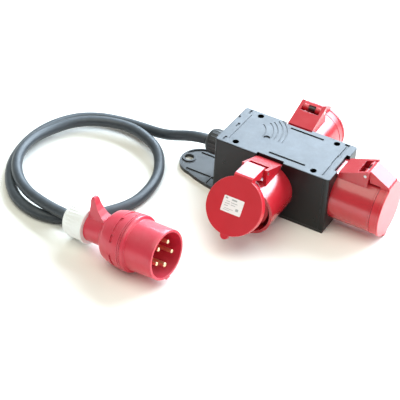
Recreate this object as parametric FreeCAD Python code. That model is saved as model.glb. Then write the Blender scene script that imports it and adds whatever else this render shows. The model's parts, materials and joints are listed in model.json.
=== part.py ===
import FreeCAD, Part
import math
import os

# Portable three-way splitter for 16 A five-pin plugs. Millimetres, floor at z = 0,
# +X towards the end socket, -Y towards the front socket, +Z up.

V = FreeCAD.Vector

# Housing
BOX_LENGTH = 162.0
BOX_WIDTH = 85.3
BOX_HEIGHT = 80.0
WALL = 3.5
CORNER_RADIUS = 4.0
TOP_EDGE_RADIUS = 1.2
PLATE_THICKNESS = 5.0
PLATE_INSET = 1.0
SCREW_INSET_X = 25.8
SCREW_INSET_Y = 8.65
PILLAR_RADIUS = 7.2
WELL_RADIUS = 4.2
WELL_FLOOR = 16.0
SCREW_RADIUS = 2.0
GASKET_WIDTH = 2.0
GASKET_DEPTH = 1.5
TOP_SLOT_DEPTH = 1.4
TOP_SLOT_WIDTH = 3.2
NOTCH_DEPTH = 4.7
NOTCH_SIDE_GAP = 1.5
ARC_CENTRE_X = -62.0
ARC_CENTRE_Y = -4.5
ARC_RADII = [31.0, 41.0, 46.5, 53.0, 58.5]
ARC_SWEEP = 52.0
ARC_WIDTH = 1.5

# Hanging tab
TAB_LENGTH = 69.5
TAB_TIP_RADIUS = 29.7
TAB_FLOOR = 3.4
TAB_RIM = 2.2
HANG_HOLE_RADIUS = 6.5
HANG_HOLE_FROM_TIP = 10.5

# Sockets, seen from the box wall outwards
SOCKET_RADIUS = 36.3
SOCKET_WALL = 3.3
SOCKET_LENGTH = 56.2
SOCKET_AXIS_HEIGHT = 43.0
SIDE_SOCKET_X = -2.3
SOCKET_BACK = 8.0
SPIGOT_LENGTH = 14.0
RING_NUT_WIDTH = 5.0
LIVE_PIN_RADIUS = 2.5
EARTH_PIN_RADIUS = 3.0
KEY_WIDTH = 7.0

# Lid hinge
HINGE_BLOCK_WIDTH = 35.0
HINGE_SLOT_WIDTH = 26.0
HINGE_PIN_RADIUS = 2.0
KNUCKLE_RADIUS = 4.6
ARM_WIDTH = 25.0
SPRING_HALF_WIDTH = 5.0
SPRING_RADIUS = 3.8
FRONT_LID_OPEN = 33.0

# Lids
LID_GAP = 0.4
LID_SKIRT_LENGTH = 8.7
LID_DISC_THICKNESS = 3.5
LID_TAB_WIDTH = 11.0
LABEL_WIDTH = 27.4
LABEL_HEIGHT = 19.6
LABEL_SHIFT = -1.8

# Cable gland and cable
GLAND_HEIGHT = 46.0
GLAND_THREAD_RADIUS = 12.4
GLAND_NUT_RADIUS = 17.7
GLAND_REACH = 30.0
CABLE_RADIUS = 7.25
CABLE_LIFT = 0.15
CORE_RADIUS = 1.35

# Plug, measured back from its mouth
PLUG_FROM_WALL = 43.27
PLUG_SIDEWAYS = -228.90
PLUG_HEIGHT = 42.6
PLUG_YAW = -5.85
PLUG_PITCH = 6.93
SHROUD_FLOOR = 36.0
PLUG_COLLAR_RADIUS = 36.5
PLUG_SEAM = 49.3
PIN_TIP_DEPTH = 3.4
NECK_RADIUS = 20.0
PLUG_NUT_START = 114.5
PLUG_NUT_END = 148.0
PLUG_NUT_RADIUS = 24.2

# Fits
FIT = 0.05
THREAD_FIT = 0.1
SLIDE = 0.3

PLATE_TOP = PLATE_THICKNESS
BOX_TOP = PLATE_TOP + BOX_HEIGHT
HALF_LENGTH = BOX_LENGTH / 2
HALF_WIDTH = BOX_WIDTH / 2
PLUG_MOUTH = V(PLUG_FROM_WALL - HALF_LENGTH, PLUG_SIDEWAYS, PLUG_HEIGHT)
CABLE_START = 1.0 - HALF_LENGTH
SOCKET_BORE = SOCKET_RADIUS - SOCKET_WALL
HINGE_OUT = SOCKET_LENGTH - 19.8
HINGE_UP = SOCKET_RADIUS + 12.1
HINGE_SLOT_START = HINGE_OUT - 11.5
INSERT_FACE = SOCKET_LENGTH - 6.2
SPIGOT_RADIUS = SOCKET_BORE - 6.0
SPIGOT_BORE = SPIGOT_RADIUS - 4.5
RING_NUT_RADIUS = SPIGOT_RADIUS + 4.5
INSERT_RADIUS = SOCKET_BORE - 5.0
PITCH_RADIUS = SPIGOT_BORE - 6.9
KEY_RADIUS = SOCKET_BORE + 1.6
LID_DISC_RADIUS = SOCKET_RADIUS + 0.8
LID_TAB_REACH = SOCKET_RADIUS + 6.2
SHROUD_RADIUS = SOCKET_BORE - 0.6
SHROUD_BORE = INSERT_RADIUS + 0.8
SKIRT_START = SOCKET_LENGTH + LID_GAP
DISC_START = SKIRT_START + LID_SKIRT_LENGTH
DISC_END = DISC_START + LID_DISC_THICKNESS
CONTACT_ANGLES = [-18.0, 54.0, 126.0, 198.0]
EARTH_ANGLE = -90.0
SCREW_X = HALF_LENGTH - SCREW_INSET_X
SCREW_Y = HALF_WIDTH - SCREW_INSET_Y

# Terminal block
TERMINAL_PITCH = 12.3
TERMINAL_HALF_WIDTH = 14.0
TERMINAL_HEIGHT = 19.0
CLAMP_HALF_LENGTH = 10.5
CLAMP_WIDTH = 6.0
CLAMP_LOW = PLATE_TOP + 7.0
CLAMP_HIGH = PLATE_TOP + 15.0
TERMINAL_TOP = PLATE_TOP + TERMINAL_HEIGHT
ENTRY_HEIGHT = (CLAMP_LOW + CLAMP_HIGH) / 2
TERMINAL_X = [SIDE_SOCKET_X + TERMINAL_PITCH * step for step in (-2, -1, 0, 1, 2)]
CORE_LEVELS = [33.0, 38.0, 43.0, 48.0, 53.0]
CORE_LANE = 4.0
CONTACT_REAR = -SPIGOT_LENGTH


def box(x0, x1, y0, y1, z0, z1):
    """A block between two opposite corners."""
    return Part.makeBox(x1 - x0, y1 - y0, z1 - z0, V(x0, y0, z0))


def rod(radius, x0, x1, y=0.0, z=0.0):
    """A cylinder along X."""
    return Part.makeCylinder(radius, x1 - x0, V(x0, y, z), V(1, 0, 0))


def post(radius, x, y, z0, z1):
    """A cylinder along Z."""
    return Part.makeCylinder(radius, z1 - z0, V(x, y, z0), V(0, 0, 1))


def cross_rod(radius, y0, y1, x, z):
    """A cylinder along Y."""
    return Part.makeCylinder(radius, y1 - y0, V(x, y0, z), V(0, 1, 0))


def ring(outer, inner, x0, x1):
    """A tube along X."""
    return rod(outer, x0, x1).cut(rod(inner, x0 - 1, x1 + 1))


def turned(points):
    """A solid turned about X from (x, radius) points."""
    corners = [V(x, 0, radius) for x, radius in points]
    face = Part.Face(Part.makePolygon(corners + corners[:1]))
    return face.revolve(V(0, 0, 0), V(1, 0, 0), 360)


def side_profile(points, half_width):
    """A solid swept across Y from (x, z) points."""
    corners = [V(x, -half_width, z) for x, z in points]
    face = Part.Face(Part.makePolygon(corners + corners[:1]))
    return face.extrude(V(0, 2 * half_width, 0))


def around(angles, radius, make):
    """One solid per angle, made by make(y, z), joined as a group."""
    solids = []
    for angle in angles:
        y = radius * math.cos(math.radians(angle))
        z = radius * math.sin(math.radians(angle))
        solids.append(make(y, z))
    return solids


def cut_all(solid, tools):
    """Cut every tool from the solid."""
    for tool in tools:
        solid = solid.cut(tool)
    return solid


def tube_along(points, radius):
    """A round tube along straight runs joined by tangent arcs."""
    points = [V(*point) for point in points]
    edges = []
    radii = []
    start = points[0]
    for before, corner, after in zip(points, points[1:], points[2:]):
        toward = (before - corner).normalize()
        onward = (after - corner).normalize()
        reach = 0.45 * min((before - corner).Length, (after - corner).Length)
        turn = math.pi - toward.getAngle(onward)
        bend = reach / math.tan(turn / 2)
        first = corner + toward * reach
        last = corner + onward * reach
        inward = (toward + onward).normalize()
        middle = corner + inward * (bend / math.cos(turn / 2) - bend)
        edges.append(Part.LineSegment(start, first).toShape())
        edges.append(Part.Arc(first, middle, last).toShape())
        radii.append(bend)
        start = last
    edges.append(Part.LineSegment(start, points[-1]).toShape())
    path = Part.Wire(edges)
    circle = Part.makeCircle(radius, points[0], points[1] - points[0])
    tube = path.makePipeShell([Part.Wire([circle])], True, False)
    return tube, path.Length, radii


def group(solids):
    """Separate solids kept together in one node."""
    return Part.makeCompound(solids)


def placed(shape, turn, x, y, z):
    """A copy turned about Z and moved."""
    copy = shape.copy()
    copy.rotate(V(0, 0, 0), V(0, 0, 1), turn)
    copy.translate(V(x, y, z))
    return copy


def screw_places():
    return [(sx * SCREW_X, sy * SCREW_Y) for sx in (-1, 1) for sy in (-1, 1)]


def socket_places():
    """Name, turn about Z and wall position of each socket."""
    return [
        ("front", -90.0, SIDE_SOCKET_X, -HALF_WIDTH),
        ("back", 90.0, SIDE_SOCKET_X, HALF_WIDTH),
        ("end", 0.0, HALF_LENGTH, 0.0),
    ]


# ---------------------------------------------------------------- housing


def shell_blank():
    """The closed outside of the housing."""
    blank = box(-HALF_LENGTH, HALF_LENGTH, -HALF_WIDTH, HALF_WIDTH, PLATE_TOP, BOX_TOP)
    upright = [edge for edge in blank.Edges if abs(edge.BoundBox.ZLength - BOX_HEIGHT) < 0.1]
    blank = blank.makeFillet(CORNER_RADIUS, upright)
    top = [edge for edge in blank.Edges if edge.BoundBox.ZMin > BOX_TOP - 0.01]
    return blank.makeFillet(TOP_EDGE_RADIUS, top)


def hinge_seat():
    """Solid backing behind one hinge notch, in a socket's own axes."""
    half = HINGE_BLOCK_WIDTH / 2 + NOTCH_SIDE_GAP + WALL
    low = RING_NUT_RADIUS + 0.6
    return box(-NOTCH_DEPTH - WALL, -0.5, -half, half, low, BOX_TOP - SOCKET_AXIS_HEIGHT - 1)


def hinge_notch():
    """Space a hinge block's tongue lies in, in a socket's own axes."""
    half = HINGE_BLOCK_WIDTH / 2 + NOTCH_SIDE_GAP
    return box(-NOTCH_DEPTH, 1, -half, half, SOCKET_RADIUS - 0.4, BOX_HEIGHT)


def top_slots():
    """Blind slots sunk in the top face."""
    floor = BOX_TOP - TOP_SLOT_DEPTH
    half = TOP_SLOT_WIDTH / 2
    slots = []
    for y in (-34.0, 0.5, 35.0):
        slots.append(box(-72.4, -69.6, y - 4.3, y + 4.3, floor, BOX_TOP + 1))
    slots.append(box(-9.0, 41.5, -30.4 - half, -30.4 + half, floor, BOX_TOP + 1))
    slots.append(box(-10.0, 37.5, 32.0 - half, 32.0 + half, floor, BOX_TOP + 1))
    slots.append(box(69.5 - half, 69.5 + half, -36.5, 40.0, floor, BOX_TOP + 1))
    slots.append(box(64.5, 69.5, 40.0 - TOP_SLOT_WIDTH, 40.0, floor, BOX_TOP + 1))
    slots.append(box(67.0, 72.0, -8.0, 12.0, floor, BOX_TOP + 1))
    slots.append(box(-67.0, -66.0, -32.0, 30.0, BOX_TOP - 0.6, BOX_TOP + 1))
    slots.append(box(-HALF_LENGTH - 1, -77.0, 14.0, 20.0, floor, BOX_TOP + 1))
    return slots


def arc_grooves():
    """Plain arcs round one centre and a round recess, sunk in the top face."""
    depth = TOP_SLOT_DEPTH / 2
    grooves = []
    for radius in ARC_RADII:
        outer = Part.makeCylinder(radius, depth + 1, V(0, 0, 0), V(0, 0, 1), ARC_SWEEP)
        arc = outer.cut(post(radius - ARC_WIDTH, 0, 0, -1, depth + 2))
        grooves.append(placed(arc, 0, ARC_CENTRE_X, ARC_CENTRE_Y, BOX_TOP - depth))
    grooves.append(post(WELL_RADIUS, -26.5, -4.0, BOX_TOP - TOP_SLOT_DEPTH, BOX_TOP + 1))
    return grooves


def housing_shell():
    """Open-bottomed housing with screw pillars, socket holes and the gland hole."""
    shell = shell_blank()
    inside = box(
        WALL - HALF_LENGTH, HALF_LENGTH - WALL, WALL - HALF_WIDTH, HALF_WIDTH - WALL, 0, BOX_TOP - WALL
    )
    shell = shell.cut(inside)
    for x, y in screw_places():
        shell = shell.fuse(post(PILLAR_RADIUS, x, y, PLATE_TOP, BOX_TOP - WALL / 2))
    for _, turn, x, y in socket_places():
        shell = shell.fuse(placed(hinge_seat(), turn, x, y, SOCKET_AXIS_HEIGHT))
    for x, y in screw_places():
        shell = shell.cut(post(WELL_RADIUS, x, y, WELL_FLOOR, BOX_TOP + 1))
        shell = shell.cut(post(SCREW_RADIUS + FIT, x, y, 0, WELL_FLOOR + 1))
    hole = rod(SPIGOT_RADIUS + 0.2, -WALL - 1, 1)
    for _, turn, x, y in socket_places():
        shell = shell.cut(placed(hole, turn, x, y, SOCKET_AXIS_HEIGHT))
        shell = shell.cut(placed(hinge_notch(), turn, x, y, SOCKET_AXIS_HEIGHT))
    gland_hole = rod(GLAND_THREAD_RADIUS + THREAD_FIT, -HALF_LENGTH - 1, -HALF_LENGTH + WALL + 1)
    gland_hole.translate(V(0, 0, GLAND_HEIGHT))
    shell = shell.cut(gland_hole)
    shell = cut_all(shell, top_slots() + arc_grooves())
    corner_groove = box(74.0, 74.9, -HALF_WIDTH - 1, -HALF_WIDTH + 0.6, PLATE_TOP - 1, BOX_TOP - 3)
    return shell.cut(corner_groove).removeSplitter()


def tab_outline(inset, reach):
    """Closed outline of the hanging tab, drawn in by inset and ending at x = reach."""
    side = HALF_WIDTH - PLATE_INSET - inset
    tip = -HALF_LENGTH - TAB_LENGTH + inset
    shoulder_x = tip + 26.3 - inset
    shoulder_y = math.sqrt((TAB_TIP_RADIUS - inset) ** 2 - (shoulder_x - tip - TAB_TIP_RADIUS + inset) ** 2)
    middle_x = (shoulder_x - HALF_LENGTH) / 2 - 1.0
    middle_y = (side + shoulder_y) / 2 + 1.2
    upper = Part.Arc(V(-HALF_LENGTH, side, 0), V(middle_x, middle_y, 0), V(shoulder_x, shoulder_y, 0))
    round_tip = Part.Arc(V(shoulder_x, shoulder_y, 0), V(tip, 0, 0), V(shoulder_x, -shoulder_y, 0))
    lower = Part.Arc(V(shoulder_x, -shoulder_y, 0), V(middle_x, -middle_y, 0), V(-HALF_LENGTH, -side, 0))
    corners = [V(-HALF_LENGTH, -side, 0), V(reach, -side, 0), V(reach, side, 0), V(-HALF_LENGTH, side, 0)]
    straight = [Part.LineSegment(a, b) for a, b in zip(corners, corners[1:])]
    edges = [curve.toShape() for curve in [upper, round_tip, lower] + straight]
    return Part.Face(Part.Wire(edges))


def gasket_ring(extra):
    """Rectangular ring under the middle of the shell's walls."""
    middle_x = HALF_LENGTH - WALL / 2 - 0.2
    middle_y = HALF_WIDTH - WALL / 2 - 0.2
    half = GASKET_WIDTH / 2 - 0.3 + extra
    low = PLATE_TOP - GASKET_DEPTH
    outer = box(
        -middle_x - half, middle_x + half, -middle_y - half, middle_y + half, low, PLATE_TOP
    )
    inner = box(
        half - middle_x, middle_x - half, half - middle_y, middle_y - half, low - 1, PLATE_TOP + 1
    )
    return outer.cut(inner)


def tab_ribs():
    """Low ribs on the tab's floor."""
    top = PLATE_TOP - 0.3
    ribs = [box(-132.0, -88.0, -21.4, -19.6, TAB_FLOOR - 0.5, top)]
    ribs.append(box(-132.0, -100.0, 19.6, 21.4, TAB_FLOOR - 0.5, top))
    ribs.append(box(-94.5, -92.9, -37.0, -20.5, TAB_FLOOR - 0.5, top))
    return ribs


def base_plate():
    """Bottom plate with the rimmed hanging tab."""
    edge = HALF_LENGTH - PLATE_INSET
    plate = tab_outline(0.0, edge).extrude(V(0, 0, PLATE_THICKNESS))
    pocket = tab_outline(TAB_RIM, edge).extrude(V(0, 0, PLATE_THICKNESS))
    pocket.translate(V(0, 0, TAB_FLOOR))
    pocket = pocket.common(box(-HALF_LENGTH - TAB_LENGTH, -HALF_LENGTH - 2, -99, 99, 0, 99))
    plate = plate.cut(pocket)
    for rib in tab_ribs():
        plate = plate.fuse(rib)
    hole_x = -HALF_LENGTH - TAB_LENGTH + HANG_HOLE_FROM_TIP
    plate = plate.fuse(post(HANG_HOLE_RADIUS + 3.0, hole_x, 0, 0, PLATE_THICKNESS))
    plate = plate.common(tab_outline(0.0, edge).extrude(V(0, 0, PLATE_THICKNESS)))
    plate = plate.cut(post(HANG_HOLE_RADIUS, hole_x, 0, -1, PLATE_THICKNESS + 1))
    for x, y in screw_places():
        plate = plate.cut(post(SCREW_RADIUS + FIT, x, y, 1.0, PLATE_THICKNESS + 1))
    return plate.cut(gasket_ring(FIT)).removeSplitter()


def housing_screws():
    """Four screws at the bottom of the wells."""
    screws = []
    for x, y in screw_places():
        shank = post(SCREW_RADIUS, x, y, 1.2, WELL_FLOOR + 0.5)
        head = post(WELL_RADIUS - SLIDE, x, y, WELL_FLOOR, WELL_FLOOR + 3.0)
        cross = box(x - 1.7, x + 1.7, y - 0.4, y + 0.4, WELL_FLOOR + 1.5, WELL_FLOOR + 4)
        other = box(x - 0.4, x + 0.4, y - 1.7, y + 1.7, WELL_FLOOR + 1.5, WELL_FLOOR + 4)
        screws.append(shank.fuse(head).cut(cross).cut(other))
    return group(screws)


# ---------------------------------------------------------------- terminals


def terminal_body():
    """Insulating block with one cavity per pole."""
    end = 2.5 * TERMINAL_PITCH
    body = box(
        SIDE_SOCKET_X - end, SIDE_SOCKET_X + end, -TERMINAL_HALF_WIDTH, TERMINAL_HALF_WIDTH,
        PLATE_TOP, TERMINAL_TOP
    )
    half = CLAMP_WIDTH / 2
    for x in TERMINAL_X:
        cavity = box(
            x - half, x + half, -CLAMP_HALF_LENGTH, CLAMP_HALF_LENGTH, CLAMP_LOW, CLAMP_HIGH
        )
        body = body.cut(cavity)
        through = cross_rod(CORE_RADIUS + SLIDE, -20, 20, x, ENTRY_HEIGHT)
        body = body.cut(through)
        for y in (-CORE_LANE, CORE_LANE):
            body = body.cut(post(CORE_RADIUS + SLIDE, x, y, CLAMP_HIGH, TERMINAL_TOP + 1))
        for y in (-8.5, 8.5):
            body = body.cut(post(2.6, x, y, CLAMP_HIGH, TERMINAL_TOP + 1))
    return body


def terminal_clamps():
    """Five brass bars with two threaded holes each."""
    half = CLAMP_WIDTH / 2
    bars = []
    for x in TERMINAL_X:
        bar = box(
            x - half, x + half, -CLAMP_HALF_LENGTH, CLAMP_HALF_LENGTH, CLAMP_LOW, CLAMP_HIGH
        )
        for y in (-8.5, 8.5):
            bar = bar.cut(post(1.5 + FIT, x, y, CLAMP_HIGH - 5, CLAMP_HIGH + 1))
        bars.append(bar)
    return group(bars)


def terminal_screws():
    """Ten slotted screws in the clamps."""
    screws = []
    for x in TERMINAL_X:
        for y in (-8.5, 8.5):
            screw = post(1.5, x, y, CLAMP_HIGH - 4.5, CLAMP_HIGH + 1.5)
            screw = screw.fuse(post(2.4, x, y, CLAMP_HIGH + 1.0, TERMINAL_TOP - 0.6))
            slot = box(x - 0.35, x + 0.35, y - 3, y + 3, TERMINAL_TOP - 1.6, TERMINAL_TOP + 1)
            screws.append(screw.cut(slot))
    return group(screws)


def contact_points():
    """Local (y, z) of the five contacts, sorted across the socket."""
    angles = CONTACT_ANGLES + [EARTH_ANGLE]
    return sorted(around(angles, PITCH_RADIUS, lambda y, z: (y, z)))


def side_wires(side):
    """Five cores from one side socket to the terminals; side is -1 for front, 1 for back."""
    wires = []
    start = side * (HALF_WIDTH + CONTACT_REAR)
    lane = side * (0.42 * CLAMP_HALF_LENGTH + 0.58 * (HALF_WIDTH + CONTACT_REAR))
    end = side * CLAMP_HALF_LENGTH
    for (y, z), terminal in zip(contact_points(), TERMINAL_X):
        x = SIDE_SOCKET_X + y
        high = SOCKET_AXIS_HEIGHT + z
        points = [(x, start, high), (x, lane, high), (terminal, lane, ENTRY_HEIGHT)]
        points.append((terminal, end, ENTRY_HEIGHT))
        wires.append(tube_along(points, CORE_RADIUS)[0])
    return group(wires)


def end_wires():
    """Five cores from the end socket to the terminals."""
    contacts = contact_points()
    order = [contacts[2], contacts[4], contacts[0], contacts[1], contacts[3]]
    start = HALF_LENGTH + CONTACT_REAR
    wires = []
    for (y, z), level, terminal in zip(order, CORE_LEVELS, reversed(TERMINAL_X)):
        high = SOCKET_AXIS_HEIGHT + z
        points = [(start, y, high), (start - 7.0, y, high), (start - 18.0, CORE_LANE, level)]
        points.append((terminal, CORE_LANE, level))
        points.append((terminal, CORE_LANE, CLAMP_HIGH))
        wires.append(tube_along(points, CORE_RADIUS)[0])
    return group(wires)


def feed_wires():
    """Five cores from the cable's end to the terminals."""
    bundle = sorted(around([-90, -18, 54, 126, 198], 3.6, lambda y, z: (z, y)))
    start = CABLE_START
    wires = []
    for (z, y), level, terminal in zip(bundle, CORE_LEVELS, TERMINAL_X):
        high = GLAND_HEIGHT + z
        points = [(start, y, high), (start + 9.0, y, high), (start + 24.0, -CORE_LANE, level)]
        points.append((terminal, -CORE_LANE, level))
        points.append((terminal, -CORE_LANE, CLAMP_HIGH))
        wires.append(tube_along(points, CORE_RADIUS)[0])
    return group(wires)


# ---------------------------------------------------------------- sockets, in their own axes


def hinge_block():
    """Ramped block on top of the socket that carries the lid's pin, with a low tongue to the rear."""
    tongue_low = SOCKET_RADIUS - 0.1
    tongue_top = SOCKET_RADIUS + 1.3
    ramp_start = SOCKET_RADIUS + 4.1
    ramp_end = HINGE_UP + 6.9
    front = HINGE_OUT + 4.3
    foot = SOCKET_RADIUS - 6.0
    profile = [
        (-NOTCH_DEPTH + 0.8, tongue_low), (-NOTCH_DEPTH + 0.8, tongue_top), (1.5, tongue_top),
        (1.5, ramp_start), (front, ramp_end), (front, foot), (0.4, foot), (0.4, tongue_low)
    ]
    block = side_profile(profile, HINGE_BLOCK_WIDTH / 2)
    half = HINGE_SLOT_WIDTH / 2
    slot = box(HINGE_SLOT_START, front + 5, -half, half, SOCKET_RADIUS + 2, ramp_end + 5)
    block = block.cut(slot)
    return block.cut(cross_rod(HINGE_PIN_RADIUS + FIT, -30, 30, HINGE_OUT, HINGE_UP))


def socket_body():
    """Round socket with its spigot, keyway and hinge block."""
    body = rod(SOCKET_RADIUS, 0, SOCKET_LENGTH).fuse(hinge_block())
    body = body.cut(rod(SOCKET_BORE, SOCKET_BACK, SOCKET_LENGTH + 1))
    body = body.fuse(rod(SPIGOT_RADIUS, -SPIGOT_LENGTH, 1))
    body = body.cut(rod(SPIGOT_BORE, -SPIGOT_LENGTH - 1, SOCKET_BACK + 1))
    body = body.cut(ring(SOCKET_BORE, SPIGOT_RADIUS + 2.5, -1, GASKET_DEPTH))
    half = KEY_WIDTH / 2 + SLIDE
    keyway = box(12, SOCKET_LENGTH + 1, -half, half, -KEY_RADIUS - SLIDE, -SOCKET_BORE + 2)
    rim = turned([(SOCKET_LENGTH - 2.5, SOCKET_RADIUS - 0.1), (SOCKET_LENGTH - 2.0, SOCKET_RADIUS + 0.6),
                  (SOCKET_LENGTH, SOCKET_RADIUS + 0.6), (SOCKET_LENGTH, SOCKET_RADIUS - 1.0),
                  (SOCKET_LENGTH - 2.5, SOCKET_RADIUS - 1.0)])
    return body.fuse(rim).cut(keyway).removeSplitter()


def socket_gasket():
    """Flat ring between the socket and the wall."""
    return ring(SOCKET_BORE - FIT, SPIGOT_RADIUS + 2.5 + FIT, 0, GASKET_DEPTH)


def ring_nut():
    """Notched nut that holds the socket from inside the wall."""
    nut = ring(RING_NUT_RADIUS, SPIGOT_RADIUS + FIT, -WALL - RING_NUT_WIDTH, -WALL)
    notches = around(range(0, 360, 60), RING_NUT_RADIUS, lambda y, z: rod(2.2, -20, 0, y, z))
    return cut_all(nut, notches)


def socket_insert():
    """Insulating insert with the five contact holes."""
    insert = rod(INSERT_RADIUS, SOCKET_BACK, INSERT_FACE)
    insert = insert.fuse(rod(SOCKET_BORE - 0.4, SOCKET_BACK, SOCKET_BACK + 4))
    insert = insert.fuse(rod(SPIGOT_BORE - 0.5, -10, SOCKET_BACK + 1))
    live = LIVE_PIN_RADIUS
    for radius, angles in ((live, CONTACT_ANGLES), (EARTH_PIN_RADIUS, [EARTH_ANGLE])):
        mouth = around(angles, PITCH_RADIUS, lambda y, z: rod(radius + 0.4, 0, 60, y, z))
        cavity = around(angles, PITCH_RADIUS, lambda y, z: rod(radius + 0.9, -11, 44, y, z))
        insert = cut_all(insert, mouth + cavity)
    return insert


def contact_tube(pin_radius, y, z):
    """One brass contact with a pin bore in front and a core bore behind."""
    tube = rod(pin_radius + 0.9 - FIT, CONTACT_REAR, 43.8, y, z)
    return tube.cut(rod(pin_radius + FIT, 6, 44, y, z))


def live_contacts():
    return group(around(CONTACT_ANGLES, PITCH_RADIUS, lambda y, z: contact_tube(LIVE_PIN_RADIUS, y, z)))


def earth_contact():
    return around([EARTH_ANGLE], PITCH_RADIUS, lambda y, z: contact_tube(EARTH_PIN_RADIUS, y, z))[0]


def hinge_pin():
    half = HINGE_BLOCK_WIDTH / 2
    return cross_rod(HINGE_PIN_RADIUS, -half, half, HINGE_OUT, HINGE_UP)


def hinge_spring():
    """Coiled part of the lid spring with the leg that rests in the slot."""
    half = SPRING_HALF_WIDTH
    coil = cross_rod(SPRING_RADIUS, -half, half, HINGE_OUT, HINGE_UP)
    turns = 7
    step = 2 * half / turns
    for index in range(turns + 1):
        y = -half + index * step
        groove = Part.makeTorus(SPRING_RADIUS + 0.25, 0.55, V(HINGE_OUT, y, HINGE_UP), V(0, 1, 0))
        coil = coil.cut(groove)
    foot = V(HINGE_OUT - 4.6, half - 0.9, SOCKET_RADIUS + 2.9)
    root = V(HINGE_OUT - 1.8, half - 0.9, HINGE_UP - 2.6)
    leg = Part.makeCylinder(0.6, (foot - root).Length, root, foot - root)
    coil = coil.fuse(leg)
    return coil.cut(cross_rod(HINGE_PIN_RADIUS + FIT, -30, 30, HINGE_OUT, HINGE_UP))


def lid_arm():
    """Arm that joins the lid to its hinge, with a gap for the spring."""
    half = ARM_WIDTH / 2
    foot = SOCKET_RADIUS + 1.4
    back = HINGE_OUT + 4.0
    crest = HINGE_UP + 6.2
    profile = [
        (HINGE_OUT, HINGE_UP - KNUCKLE_RADIUS), (back + 1.0, HINGE_UP - 6.4), (back + 2.2, foot),
        (SKIRT_START, foot), (SKIRT_START, SOCKET_RADIUS - 8.3), (DISC_END, SOCKET_RADIUS - 8.3),
        (DISC_END, SOCKET_RADIUS + 1.9), (DISC_END - 1.8, SOCKET_RADIUS + 3.9), (back + 1.6, crest),
        (back, crest), (HINGE_OUT, HINGE_UP + KNUCKLE_RADIUS)
    ]
    arm = side_profile(profile, half)
    arm = arm.fuse(cross_rod(KNUCKLE_RADIUS, -half, half, HINGE_OUT, HINGE_UP))
    gap = SPRING_HALF_WIDTH + SLIDE
    arm = arm.cut(cross_rod(SPRING_RADIUS + 0.7, -gap, gap, HINGE_OUT, HINGE_UP))
    arm = arm.cut(box(HINGE_OUT - 9, HINGE_OUT, -gap, gap, HINGE_UP - 12, HINGE_UP + 12))
    arm = arm.cut(cross_rod(HINGE_PIN_RADIUS + FIT, -30, 30, HINGE_OUT, HINGE_UP))
    return arm


def lid():
    """Round sprung lid: disc, skirt, finger tab and arm, shut."""
    disc = rod(LID_DISC_RADIUS, DISC_START, DISC_END)
    edges = [edge for edge in disc.Edges if abs(edge.BoundBox.XMin - DISC_END) < 0.01]
    disc = disc.makeFillet(0.8, [edge for edge in edges if edge.BoundBox.XLength < 0.01])
    skirt = rod(SOCKET_RADIUS, SKIRT_START, DISC_START + 0.5)
    shape = disc.fuse(skirt).fuse(lid_arm())
    half = LID_TAB_WIDTH / 2
    tip = -LID_TAB_REACH + half
    tab = box(DISC_START - 1.0, DISC_END - 0.3, -half, half, tip, 6.0 - SOCKET_RADIUS)
    tab = tab.fuse(rod(half, DISC_START - 1.0, DISC_END - 0.3, 0, tip))
    shape = shape.fuse(tab)
    shape = shape.cut(rod(SOCKET_BORE + SLIDE, SKIRT_START - 1, DISC_START))
    return shape.removeSplitter()


def lid_seal():
    """Soft ring inside the lid that closes on the socket's mouth."""
    return ring(SOCKET_BORE + SLIDE - FIT, SOCKET_BORE - 4.0, DISC_START - 3.0, DISC_START)


def rating_label():
    """Plain label on the front lid."""
    half = LABEL_WIDTH / 2
    rise = LABEL_HEIGHT / 2
    label = box(DISC_END, DISC_END + 0.3, LABEL_SHIFT - half, LABEL_SHIFT + half, -rise, rise)
    upright = [edge for edge in label.Edges if edge.BoundBox.XLength > 0.2 and edge.Length < 0.4]
    return label.makeFillet(1.2, upright)


def opened(shape):
    """A lid piece swung open about its hinge."""
    copy = shape.copy()
    copy.rotate(V(HINGE_OUT, 0, HINGE_UP), V(0, 1, 0), -FRONT_LID_OPEN)
    return copy


def socket_nodes():
    """Every piece of the three sockets, in place."""
    fixed = {
        "body": socket_body(),
        "insert": socket_insert(),
        "live_contacts": live_contacts(),
        "earth_contact": earth_contact(),
        "gasket": socket_gasket(),
        "ring_nut": ring_nut(),
        "hinge_pin": hinge_pin(),
        "hinge_spring": hinge_spring(),
    }
    moving = {"lid": lid(), "lid_seal": lid_seal()}
    nodes = {}
    for name, turn, x, y in socket_places():
        for piece, shape in fixed.items():
            nodes[f"{name}_socket_{piece}"] = placed(shape, turn, x, y, SOCKET_AXIS_HEIGHT)
        for piece, shape in moving.items():
            if name == "front":
                shape = opened(shape)
            nodes[f"{name}_{piece}"] = placed(shape, turn, x, y, SOCKET_AXIS_HEIGHT)
        if name == "front":
            label = opened(rating_label())
            nodes["rating_label"] = placed(label, turn, x, y, SOCKET_AXIS_HEIGHT)
    return nodes


# ---------------------------------------------------------------- gland, along -X from the wall


def at_gland(shape):
    """A piece drawn outwards from x = 0, set on the gland's axis."""
    copy = shape.copy()
    copy.rotate(V(0, 0, 0), V(0, 0, 1), 180)
    copy.translate(V(-HALF_LENGTH, 0, GLAND_HEIGHT))
    return copy


def gland_body():
    """Threaded gland body with a six-sided flange."""
    corners = around(range(0, 361, 60), 17.0, lambda y, z: V(0, y, z))
    flange = Part.Face(Part.makePolygon(corners)).extrude(V(6, 0, 0))
    body = flange.fuse(rod(GLAND_THREAD_RADIUS, -WALL - 9, 1))
    body = body.fuse(rod(14.5, 5, 18))
    body = body.cut(rod(CABLE_RADIUS + 0.8, -20, 20))
    return at_gland(body.cut(rod(11.0, 7, 20)))


def gland_locknut():
    nut = ring(16.5, GLAND_THREAD_RADIUS + FIT, -WALL - 5, -WALL)
    return at_gland(cut_all(nut, around(range(0, 360, 60), 17.6, lambda y, z: rod(2.2, -20, 0, y, z))))


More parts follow.
